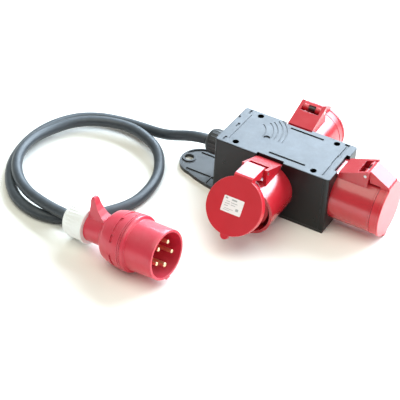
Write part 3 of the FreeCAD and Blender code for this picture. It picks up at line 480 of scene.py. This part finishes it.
class Shop:
    """Ways to make finished objects from meshes."""

    @staticmethod
    def object_from(name: str, mesh: bpy.types.Mesh, finish: Finish) -> bpy.types.Object:
        """Links a mesh as a new object with one finish.

        Args:
            name: the piece's name.
            mesh: its mesh, already in place.
            finish: its finish.

        Returns:
            The new object.
        """
        piece = bpy.data.objects.new(name, mesh)
        bpy.context.scene.collection.objects.link(piece)
        mesh.materials.clear()
        mesh.materials.append(finish.material())
        return piece

    @staticmethod
    def smooth(mesh: bpy.types.Mesh, degrees: float = SHARP_ANGLE) -> None:
        """Shades a mesh smooth, with sharp edges above an angle."""
        mesh.shade_smooth()
        mesh.set_sharp_from_angle(angle=math.radians(degrees))

    @staticmethod
    def flat_areas(work: bmesh.types.BMesh) -> dict[int, float]:
        """The area of the flat region that each face belongs to, by face index."""
        work.faces.index_update()
        areas: dict[int, float] = {}
        for start in work.faces:
            if start.index in areas:
                continue
            region, waiting = {start.index: start}, [start]
            while waiting:
                face = waiting.pop()
                for edge in face.edges:
                    for other in edge.link_faces:
                        if other.index not in region and other.normal.dot(start.normal) > SAME_PLANE:
                            region[other.index] = other
                            waiting.append(other)
            total = sum(face.calc_area() for face in region.values())
            areas.update(dict.fromkeys(region, total))
        return areas

    @staticmethod
    def crease(work: bmesh.types.BMesh) -> None:
        """Shades a welded mesh smooth, with sharp edges above an angle that is lower round flat regions."""
        areas = Shop.flat_areas(work)
        for face in work.faces:
            face.smooth = True
        for edge in work.edges:
            bend = math.degrees(edge.calc_face_angle(math.pi))
            area = max((areas[face.index] for face in edge.link_faces), default=0.0)
            limit = SHARP_ANGLE
            if area > WIDE_FLAT_AREA:
                limit = WIDE_FLAT_ANGLE
            elif area > SMALL_FLAT_AREA:
                limit = SMALL_FLAT_ANGLE
            edge.smooth = bend < limit

    @staticmethod
    def from_nodes(name: str, finish: Finish, body: Body, nodes: list[str]) -> bpy.types.Object:
        """A welded, smooth-shaded piece with the shape of some CAD nodes, which it stands for.

        Args:
            name: the piece's name.
            finish: its finish.
            body: the body it rides on.
            nodes: the CAD nodes it copies.

        Returns:
            The new piece.
        """
        work = bmesh.new()
        for node in nodes:
            work.from_mesh(frame["nodes"][node].data)
        bmesh.ops.remove_doubles(work, verts=work.verts, dist=WELD)
        Shop.crease(work)
        mesh = bpy.data.meshes.new(name)
        work.to_mesh(mesh)
        work.free()
        piece = Shop.object_from(name, mesh, finish)
        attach(piece, body.value)
        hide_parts(*nodes)
        log.info("%s stands for %s", name, ", ".join(nodes))
        return piece

    @staticmethod
    def turned(
        name: str, profile: list[tuple[float, float]], place: Matrix, sides: int = 96
    ) -> bpy.types.Mesh:
        """A hollow shape turned about its own X axis.

        Args:
            name: the mesh's name.
            profile: (x, radius) points in millimetres, as a loop clear of the axis.
            place: where the shape's own axes stand, in metres.
            sides: how many sides the turning has.

        Returns:
            The mesh, in place.
        """
        work = bmesh.new()
        rings = []
        for x, radius in profile:
            ring = []
            for step in range(sides):
                angle = 2 * math.pi * step / sides
                point = Vector((x, radius * math.cos(angle), radius * math.sin(angle)))
                ring.append(work.verts.new(point * MM))
            rings.append(ring)
        for first, second in zip(rings, rings[1:] + rings[:1]):
            for step in range(sides):
                after = (step + 1) % sides
                work.faces.new((first[step], first[after], second[after], second[step]))
        bmesh.ops.recalc_face_normals(work, faces=work.faces)
        work.transform(place)
        mesh = bpy.data.meshes.new(name)
        work.to_mesh(mesh)
        work.free()
        Shop.smooth(mesh)
        return mesh


class GeometryTool:
    """A geometry node tree built in steps, run once and turned into a plain mesh."""

    def __init__(self, name: str, inputs: dict[str, tuple[str, object]]) -> None:
        """Starts the tree.

        Args:
            name: the tree's name.
            inputs: input names with their socket kinds and values.
        """
        self.tree = bpy.data.node_groups.new(name, "GeometryNodeTree")
        self.tree.interface.new_socket(name="Geometry", in_out="INPUT", socket_type="NodeSocketGeometry")
        self.tree.interface.new_socket(name="Geometry", in_out="OUTPUT", socket_type="NodeSocketGeometry")
        self.values = {}
        for label, (kind, value) in inputs.items():
            socket = self.tree.interface.new_socket(name=label, in_out="INPUT", socket_type=kind)
            self.values[socket.identifier] = value
        self.wires = Wiring(self.tree)
        self.given = self.wires.add("NodeGroupInput")
        self.out = self.wires.add("NodeGroupOutput")

    def finish(self, geometry: bpy.types.NodeSocket, material: bpy.types.Material) -> None:
        """Ends the tree with realised instances and one material."""
        real = self.wires.add("GeometryNodeRealizeInstances")
        self.wires.link(geometry, real.inputs[0])
        dress = self.wires.add("GeometryNodeSetMaterial")
        dress.inputs["Material"].default_value = material
        self.wires.link(real.outputs[0], dress.inputs["Geometry"])
        self.wires.link(dress.outputs[0], self.out.inputs[0])

    def run(self, name: str, start: bpy.types.Mesh, place: Matrix) -> bpy.types.Mesh:
        """Runs the tree on a mesh.

        Args:
            name: the result's name.
            start: the mesh that the tree is given, in its own axes.
            place: where those axes stand.

        Returns:
            A plain mesh, in place.
        """
        holder = bpy.data.objects.new(name + "_work", start)
        bpy.context.scene.collection.objects.link(holder)
        modifier = holder.modifiers.new("tool", "NODES")
        modifier.node_group = self.tree
        for identifier, value in self.values.items():
            modifier[identifier] = value
        bpy.context.view_layer.update()
        graph = bpy.context.evaluated_depsgraph_get()
        mesh = bpy.data.meshes.new_from_object(holder.evaluated_get(graph))
        bpy.data.objects.remove(holder)
        mesh.name = name
        work = bmesh.new()
        work.from_mesh(mesh)
        bmesh.ops.remove_doubles(work, verts=work.verts, dist=FINE_WELD)
        work.transform(place)
        work.to_mesh(mesh)
        work.free()
        Shop.smooth(mesh)
        return mesh


@dataclass
class GripRibs:
    """Ribs round a nut, set along its own X axis."""

    count: int
    radius: float
    rib_radius: float
    start: float
    end: float

    def tree(self, finish: Finish) -> GeometryTool:
        """The node tree that joins the ribs to the nut it is given."""
        length = (self.end - self.start) * MM
        tool = GeometryTool("grip ribs", {
            "Rib Count": ("NodeSocketInt", self.count),
            "Ring Radius": ("NodeSocketFloat", self.radius * MM),
            "Rib Radius": ("NodeSocketFloat", self.rib_radius * MM),
            "Rib Length": ("NodeSocketFloat", length),
            "Rib Centre": ("NodeSocketFloat", (self.start + self.end) / 2 * MM),
        })
        wires, given = tool.wires, tool.given
        ring = wires.add("GeometryNodeMeshCircle")
        wires.link(given.outputs["Rib Count"], ring.inputs["Vertices"])
        wires.link(given.outputs["Ring Radius"], ring.inputs["Radius"])
        rib = wires.add("GeometryNodeMeshCylinder", Vertices=10)
        wires.link(given.outputs["Rib Radius"], rib.inputs["Radius"])
        wires.link(given.outputs["Rib Length"], rib.inputs["Depth"])
        spread = wires.add("GeometryNodeInstanceOnPoints")
        wires.link(ring.outputs["Mesh"], spread.inputs["Points"])
        wires.link(rib.outputs["Mesh"], spread.inputs["Instance"])
        turn = wires.add("GeometryNodeTransform")
        turn.inputs["Rotation"].default_value = (0.0, math.pi / 2, 0.0)
        shift = wires.add("ShaderNodeCombineXYZ")
        wires.link(given.outputs["Rib Centre"], shift.inputs["X"])
        wires.link(shift.outputs[0], turn.inputs["Translation"])
        wires.link(spread.outputs[0], turn.inputs["Geometry"])
        join = wires.add("GeometryNodeJoinGeometry")
        wires.link(turn.outputs[0], join.inputs[0])
        wires.link(given.outputs["Geometry"], join.inputs[0])
        tool.finish(join.outputs[0], finish.material())
        return tool


@dataclass
class CoilSpring:
    """A torsion spring round the local Y axis."""

    turns: float
    radius: float
    wire: float
    length: float

    def tree(self, finish: Finish) -> GeometryTool:
        """The node tree that winds the spring."""
        tool = GeometryTool("coil spring", {
            "Turns": ("NodeSocketFloat", self.turns),
            "Coil Radius": ("NodeSocketFloat", self.radius * MM),
            "Wire Radius": ("NodeSocketFloat", self.wire / 2 * MM),
            "Coil Length": ("NodeSocketFloat", self.length * MM),
        })
        wires, given = tool.wires, tool.given
        spiral = wires.add("GeometryNodeCurveSpiral")
        spiral.inputs["Resolution"].default_value = 20
        wires.link(given.outputs["Turns"], spiral.inputs["Rotations"])
        wires.link(given.outputs["Coil Radius"], spiral.inputs["Start Radius"])
        wires.link(given.outputs["Coil Radius"], spiral.inputs["End Radius"])
        wires.link(given.outputs["Coil Length"], spiral.inputs["Height"])
        section = wires.add("GeometryNodeCurvePrimitiveCircle")
        section.inputs["Resolution"].default_value = 10
        wires.link(given.outputs["Wire Radius"], section.inputs["Radius"])
        sweep = wires.add("GeometryNodeCurveToMesh")
        sweep.inputs["Fill Caps"].default_value = True
        wires.link(spiral.outputs[0], sweep.inputs["Curve"])
        wires.link(section.outputs[0], sweep.inputs["Profile Curve"])
        turn = wires.add("GeometryNodeTransform")
        turn.inputs["Rotation"].default_value = (math.pi / 2, 0.0, 0.0)
        turn.inputs["Translation"].default_value = (0.0, self.length / 2 * MM, 0.0)
        wires.link(sweep.outputs[0], turn.inputs["Geometry"])
        tool.finish(turn.outputs[0], finish.material())
        return tool


# ------------------------------------------------------------------ places read from the frame


def mount(name: str) -> dict:
    """The record's mount of that name."""
    return next(entry for entry in frame["record"]["mounts"] if entry["name"] == name)


def hinge(name: str) -> dict:
    """The record's joint of that name."""
    return next(entry for entry in frame["joints"] if entry["name"] == name)


def axes_along(origin: Vector, along: Vector) -> Matrix:
    """Axes with X along a direction, Y level and Z upwards.

    Args:
        origin: where the axes stand.
        along: the direction of X.

    Returns:
        The 4x4 place.
    """
    x = along.normalized()
    y = Vector((0, 0, 1)).cross(x).normalized()
    z = x.cross(y)
    place = Matrix((x, y, z)).transposed().to_4x4()
    place.translation = origin
    return place


# ------------------------------------------------------------------ sub-assemblies


@dataclass(frozen=True)
class Lamp:
    """A rectangular soft lamp that faces the object, in metres and watts."""

    name: str
    at: Point
    size: tuple[float, float]
    power: float
    colour: Colour

    def build(self) -> None:
        """Adds the lamp."""
        data = bpy.data.lights.new(self.name, "AREA")
        data.shape = "RECTANGLE"
        data.size, data.size_y = self.size
        data.energy = self.power
        data.color = self.colour
        lamp = bpy.data.objects.new(self.name, data)
        lamp.location = self.at
        lamp.rotation_euler = (Vector(self.at) - Vector(LOOK_AT)).to_track_quat("Z", "Y").to_euler()
        bpy.context.scene.collection.objects.link(lamp)


@dataclass
class Studio:
    """Floor, lights and camera."""

    target: Point = (-0.08047, -0.07358, 0.005)
    azimuth: float = 28.088
    elevation: float = 38.291
    roll: float = 3.445
    distance: float = 1.69566
    lens: float = 117.68
    sensor: float = 36.0
    floor_size: float = 12.0
    floor_colour: Colour = (0.95, 0.93, 0.88)
    room_colour: Colour = (0.96, 0.98, 0.94)
    room_strength: float = 0.35
    lamps: tuple[Lamp, ...] = (
        Lamp("window_behind", (0.25, 2.30, 1.75), (3.8, 1.8), 300.0, (0.73, 0.87, 1.0)),
        Lamp("side_light", (2.3, 0.6, 1.0), (2.2, 1.6), 42.0, (0.9, 0.97, 1.0)),
        Lamp("top_light", (-0.2, -0.9, 2.5), (2.6, 2.2), 42.0, (0.98, 1.0, 0.86)),
    )

    def camera(self) -> None:
        """Places the camera."""
        a, e, r = (math.radians(value) for value in (self.azimuth, self.elevation, self.roll))
        back = Vector((math.sin(a) * math.cos(e), -math.cos(a) * math.cos(e), math.sin(e)))
        level = Vector((math.cos(a), math.sin(a), 0))
        above = back.cross(level)
        right = math.cos(r) * level + math.sin(r) * above
        up = -math.sin(r) * level + math.cos(r) * above
        place = Matrix((right, up, back)).transposed().to_4x4()
        place.translation = Vector(self.target) + back * self.distance
        data = bpy.data.cameras.new("camera")
        data.lens = self.lens
        data.sensor_width = self.sensor
        data.clip_end = 50.0
        camera = bpy.data.objects.new("camera", data)
        camera.matrix_world = place
        bpy.context.scene.collection.objects.link(camera)
        bpy.context.scene.camera = camera

    def floor(self) -> None:
        """Lays the pale floor."""
        work = bmesh.new()
        bmesh.ops.create_grid(work, x_segments=1, y_segments=1, size=self.floor_size)
        mesh = bpy.data.meshes.new("floor")
        work.to_mesh(mesh)
        work.free()
        material = bpy.data.materials.new("studio_floor")
        material.use_nodes = True
        shader = material.node_tree.nodes["Principled BSDF"]
        shader.inputs["Base Color"].default_value = (*self.floor_colour, 1)
        shader.inputs["Roughness"].default_value = 0.9
        shader.inputs["Specular IOR Level"].default_value = 0.1
        mesh.materials.append(material)
        plane = bpy.data.objects.new("floor", mesh)
        bpy.context.scene.collection.objects.link(plane)

    def lights(self) -> None:
        """Sets the lamps and the even light of the room."""
        for lamp in self.lamps:
            lamp.build()
        world = bpy.data.worlds.new("studio")
        world.use_nodes = True
        backdrop = world.node_tree.nodes["Background"]
        backdrop.inputs["Color"].default_value = (*self.room_colour, 1)
        backdrop.inputs["Strength"].default_value = self.room_strength
        bpy.context.scene.world = world
        bpy.context.scene.view_settings.view_transform = "Standard"

    def build(self) -> None:
        """Makes the whole studio."""
        self.camera()
        self.floor()
        self.lights()
        log.info("studio ready")


@dataclass
class SupplyCable:
    """Rubber cable from the gland, twice round on the floor, to the plug."""

    diameter: float = 0.0145
    length: float = 1.2109
    exit: Point = (-0.107, 0.0, 0.046)
    route: list[Point] = field(default_factory=lambda: [
        (-0.080, 0.0, 0.046), (-0.112, 0.0, 0.046), (-0.141, 0.000, 0.0399),
        (-0.171, 0.002, 0.0269), (-0.198, 0.011, 0.0154), (-0.228, 0.017, 0.0094),
        (-0.259, 0.016, 0.0074), (-0.290, 0.007, 0.0074), (-0.315, -0.011, 0.0074),
        (-0.331, -0.038, 0.0074), (-0.339, -0.068, 0.0074), (-0.339, -0.100, 0.0074),
        (-0.332, -0.133, 0.0074), (-0.321, -0.158, 0.0074), (-0.302, -0.184, 0.0074),
        (-0.277, -0.205, 0.0074), (-0.243, -0.215, 0.0074), (-0.215, -0.211, 0.0074),
        (-0.194, -0.199, 0.0074), (-0.169, -0.169, 0.0074), (-0.152, -0.142, 0.0074),
        (-0.145, -0.118, 0.0074), (-0.146, -0.083, 0.0074), (-0.156, -0.050, 0.0074),
        (-0.177, -0.020, 0.0157), (-0.221, -0.002, 0.0175), (-0.253, -0.002, 0.0165),
        (-0.285, -0.013, 0.0154), (-0.307, -0.031, 0.0150), (-0.322, -0.060, 0.0146),
        (-0.329, -0.090, 0.0168), (-0.326, -0.123, 0.0194), (-0.316, -0.151, 0.0194),
        (-0.296, -0.176, 0.0183), (-0.269, -0.194, 0.0183), (-0.241, -0.205, 0.0212),
        (-0.209, -0.212, 0.0234),
    ])
    into_plug: tuple[float, float] = (0.142, 0.112)

    def build(self) -> bpy.types.Object:
        """Makes the cable's curve."""
        plug = mount("supply_plug")
        mouth, axis = Vector(plug["pos_m"]), Vector(plug["axis"]).normalized()
        points = [Vector(point) for point in self.route] + [mouth - axis * back for back in self.into_plug]
        data = bpy.data.curves.new("supply_cable", "CURVE")
        data.dimensions = "3D"
        data.bevel_depth = self.diameter / 2
        data.bevel_resolution = 8
        data.resolution_u = 10
        data.use_fill_caps = True
        spline = data.splines.new("NURBS")
        spline.points.add(len(points) - 1)
        for knot, point in zip(spline.points, points):
            knot.co = (*point, 1.0)
        spline.order_u = 3
        spline.use_endpoint_u = True
        cable = bpy.data.objects.new("supply_cable", data)
        bpy.context.scene.collection.objects.link(cable)
        data.materials.append(CABLE_RUBBER.material())
        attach(cable, Body.BOX.value)
        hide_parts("cable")
        log.info("supply cable laid")
        return cable


@dataclass
class SupplyPlug:
    """Five-pin plug on the cable's end, in axes with X out of its mouth."""

    nut_start: float = -114.5
    nut_end: float = -148.0

    def place(self) -> Matrix:
        """Where the plug's own axes stand."""
        at = mount("supply_plug")
        return axes_along(Vector(at["pos_m"]), Vector(at["axis"]))

    def nut(self) -> bpy.types.Object:
        """The white clamping nut with its flange and grip ribs."""
        start, end = self.nut_start, self.nut_end
        profile = [
            (start, 17.2), (start, 23.6), (start - 0.5, 24.2), (start - 2.8, 24.2), (start - 3.4, 23.4),
            (start - 4.2, 22.8), (end + 9, 22.3), (end + 5, 22.0), (end + 2.6, 21.2), (end + 1.0, 19.6),
            (end + 0.3, 17.8), (end, 15.8), (end, 12.7), (end + 18, 12.7), (end + 18, 17.2),
        ]
        body = Shop.turned("plug_clamp_nut", profile, Matrix.Identity(4))
        ribs = GripRibs(count=36, radius=22.1, rib_radius=0.75, start=end + 7.0, end=start - 5.0)
        mesh = ribs.tree(WHITE_NUT).run("plug_clamp_nut", body, self.place())
        piece = Shop.object_from("plug_clamp_nut", mesh, WHITE_NUT)
        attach(piece, Body.BOX.value)
        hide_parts("plug_nut")
        return piece

    def build(self) -> list[bpy.types.Object]:
        """Makes every piece of the plug and returns them."""
        box = Body.BOX
        return [
            Shop.from_nodes("plug_front_shroud", RED_PLUG, box, ["plug_shroud"]),
            Shop.from_nodes("plug_handle_housing", RED_PLUG, box, ["plug_rear_housing"]),
            Shop.from_nodes("plug_pin_carrier", RED_INSERT, box, ["plug_insert"]),
            Shop.from_nodes("plug_four_live_pins", PIN_METAL, box, ["plug_live_pins"]),
            Shop.from_nodes("plug_thick_earth_pin", PIN_METAL, box, ["plug_earth_pin"]),
            Shop.from_nodes("plug_inner_seal", SEAL_RUBBER, box, ["plug_seal"]),
            Shop.from_nodes("plug_rear_grommet", SEAL_RUBBER, box, ["plug_grommet"]),
            self.nut(),
        ]


@dataclass
class CableGland:
    """Gland where the cable enters the housing, in axes with X out of the wall."""

    nut_start: float = 7.5
    nut_end: float = 30.0

    def nut(self) -> bpy.types.Object:
        """The domed gland nut with its grip ribs."""
        low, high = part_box("gland_nut")
        centre = (low + high) / 2
        wall = Vector((high.x + self.nut_start * MM, centre.y, centre.z))
        place = axes_along(wall, Vector((-1, 0, 0)))
        end = self.nut_end
        profile = [
            (7.6, 14.8), (7.6, 16.4), (8.6, 17.0), (end - 6.5, 16.8), (end - 3.5, 16.0), (end - 1.6, 14.4),
            (end - 0.4, 12.4), (end, 11.0), (end, 8.4), (18.5, 8.4), (18.5, 14.8),
        ]
        body = Shop.turned("gland_dome_nut", profile, Matrix.Identity(4))
        ribs = GripRibs(count=20, radius=16.6, rib_radius=0.95, start=9.0, end=end - 7.0)
        mesh = ribs.tree(BLACK_GLAND).run("gland_dome_nut", body, place)
        piece = Shop.object_from("gland_dome_nut", mesh, BLACK_GLAND)
        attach(piece, Body.BOX.value)
        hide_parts("gland_nut")
        return piece

    def build(self) -> None:
        """Makes every piece of the gland."""
        self.nut()
        Shop.from_nodes("gland_hex_body", BLACK_GLAND, Body.BOX, ["gland_body"])
        Shop.from_nodes("gland_rubber_seal", SEAL_RUBBER, Body.BOX, ["gland_seal"])
        Shop.from_nodes("gland_inner_locknut", BLACK_GLAND, Body.BOX, ["gland_locknut"])


@dataclass
class SocketOutlet:
    """One socket with its sprung lid."""

    outlet: Outlet
    lid_body: Body
    spring: CoilSpring = field(default_factory=lambda: CoilSpring(6.0, radius=3.2, wire=1.2, length=8.6))
    leg_root: Point = (-1.8, 4.1, -2.6)
    leg_foot: Point = (-4.6, 4.1, -9.2)

    def node(self, piece: str) -> str:
        """The full name of one of this socket's CAD nodes."""
        return f"{self.outlet.value}_socket_{piece}"

    def hinge_spring(self) -> None:
        """Winds the lid spring round the hinge pin and adds its resting leg."""
        name = self.outlet.value
        joint = hinge(f"{name}_lid_hinge")
        outward = Vector(mount(f"{name}_socket")["axis"])
        place = axes_along(Vector(joint["pos_m"]), outward)
        mesh = self.spring.tree(SPRING_STEEL_AS_SLOT_SHADE).run(f"{name}_lid_spring", bpy.data.meshes.new("start"), place)
        work = bmesh.new()
        work.from_mesh(mesh)
        foot, root = Vector(self.leg_foot) * MM, Vector(self.leg_root) * MM
        wire = self.spring.wire / 2 * MM
        along = (foot - root).to_track_quat("Z", "Y").to_matrix().to_4x4()
        along.translation = (foot + root) / 2
        bmesh.ops.create_cone(work, cap_ends=True, segments=10, radius1=wire, radius2=wire,
                              depth=(foot - root).length, matrix=place @ along)
        work.to_mesh(mesh)
        work.free()
        Shop.smooth(mesh)
        piece = Shop.object_from(f"{name}_lid_spring", mesh, SPRING_STEEL_AS_SLOT_SHADE)
        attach(piece, Body.BOX.value)
        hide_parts(self.node("hinge_spring"))

    def build(self) -> None:
        """Makes every piece of the socket."""
        name = self.outlet.value
        box = Body.BOX
        Shop.from_nodes(f"{name}_outlet_shell", RED_SOCKET, box, [self.node("body")])
        Shop.from_nodes(f"{name}_outlet_contact_carrier", RED_INSERT, box, [self.node("insert")])
        Shop.from_nodes(f"{name}_outlet_live_tubes", BRASS, box, [self.node("live_contacts")])
        Shop.from_nodes(f"{name}_outlet_earth_tube", BRASS, box, [self.node("earth_contact")])
        Shop.from_nodes(f"{name}_outlet_wall_gasket", SEAL_RUBBER, box, [self.node("gasket")])
        Shop.from_nodes(f"{name}_outlet_ring_nut", BLACK_GLAND, box, [self.node("ring_nut")])
        Shop.from_nodes(f"{name}_outlet_hinge_pin", STEEL, box, [self.node("hinge_pin")])
        self.hinge_spring()
        Shop.from_nodes(f"{name}_outlet_lid", RED_LID, self.lid_body, [f"{name}_lid"])
        Shop.from_nodes(f"{name}_outlet_lid_seal", SEAL_RUBBER, self.lid_body, [f"{name}_lid_seal"])
        log.info("%s outlet made", name)


@dataclass
class LidLabel:
    """White card on the front lid, with its own UV map."""

    width: float = 27.4
    height: float = 19.6

    def build(self) -> None:
        """Makes the label from its CAD node and maps it across its face."""
        piece = Shop.from_nodes("front_lid_label", LABEL, Body.FRONT_LID, ["rating_label"])
        mesh = piece.data
        across = Vector((1, 0, 0))
        points = [vertex.co.copy() for vertex in mesh.vertices]
        low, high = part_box("rating_label")
        centre = (low + high) / 2
        rise = Vector((0, high.y - low.y, high.z - low.z)).normalized()
        layer = mesh.uv_layers.new(name="label")
        for loop in mesh.loops:
            offset = points[loop.vertex_index] - centre
            layer.data[loop.index].uv = (
                0.5 + offset.dot(across) / (self.width * MM), 0.5 + offset.dot(rise) / (self.height * MM)
            )


@dataclass
class Housing:
    """Housing shell, base plate with the hanging tab, and what is inside."""

    def build(self) -> None:
        """Makes every piece of the housing."""
        box = Body.BOX
        Shop.from_nodes("housing_cover", BLACK_HOUSING, box, ["housing_shell"])
        Shop.from_nodes("housing_base_with_tab", BLACK_TAB, box, ["base_plate"])
        Shop.from_nodes("housing_base_seal", SEAL_RUBBER, box, ["base_gasket"])
        Shop.from_nodes("housing_four_screws", STEEL, box, ["housing_screws"])
        Shop.from_nodes("terminal_block", DARK_BLOCK, box, ["terminal_body"])
        Shop.from_nodes("terminal_bars", BRASS, box, ["terminal_clamps"])
        Shop.from_nodes("terminal_ten_screws", STEEL, box, ["terminal_screws"])
        for name in ("feed_wires", "front_wires", "back_wires", "end_wires"):
            Shop.from_nodes(f"{name}_insulated", CORE_PLASTIC, box, [name])


def main() -> None:
    """Builds the studio and every sub-assembly in order."""
    logging.basicConfig(level=logging.INFO, format="%(message)s")
    Studio().build()
    cable = SupplyCable()
    laid = cable.build()
    on_cable = SupplyPlug().build()
    Housing().build()
    CableGland().build()
    for outlet in Outlet:
        SocketOutlet(outlet, Body(f"{outlet.value}_lid")).build()
    LidLabel().build()


if __name__ == "__main__":
    main()
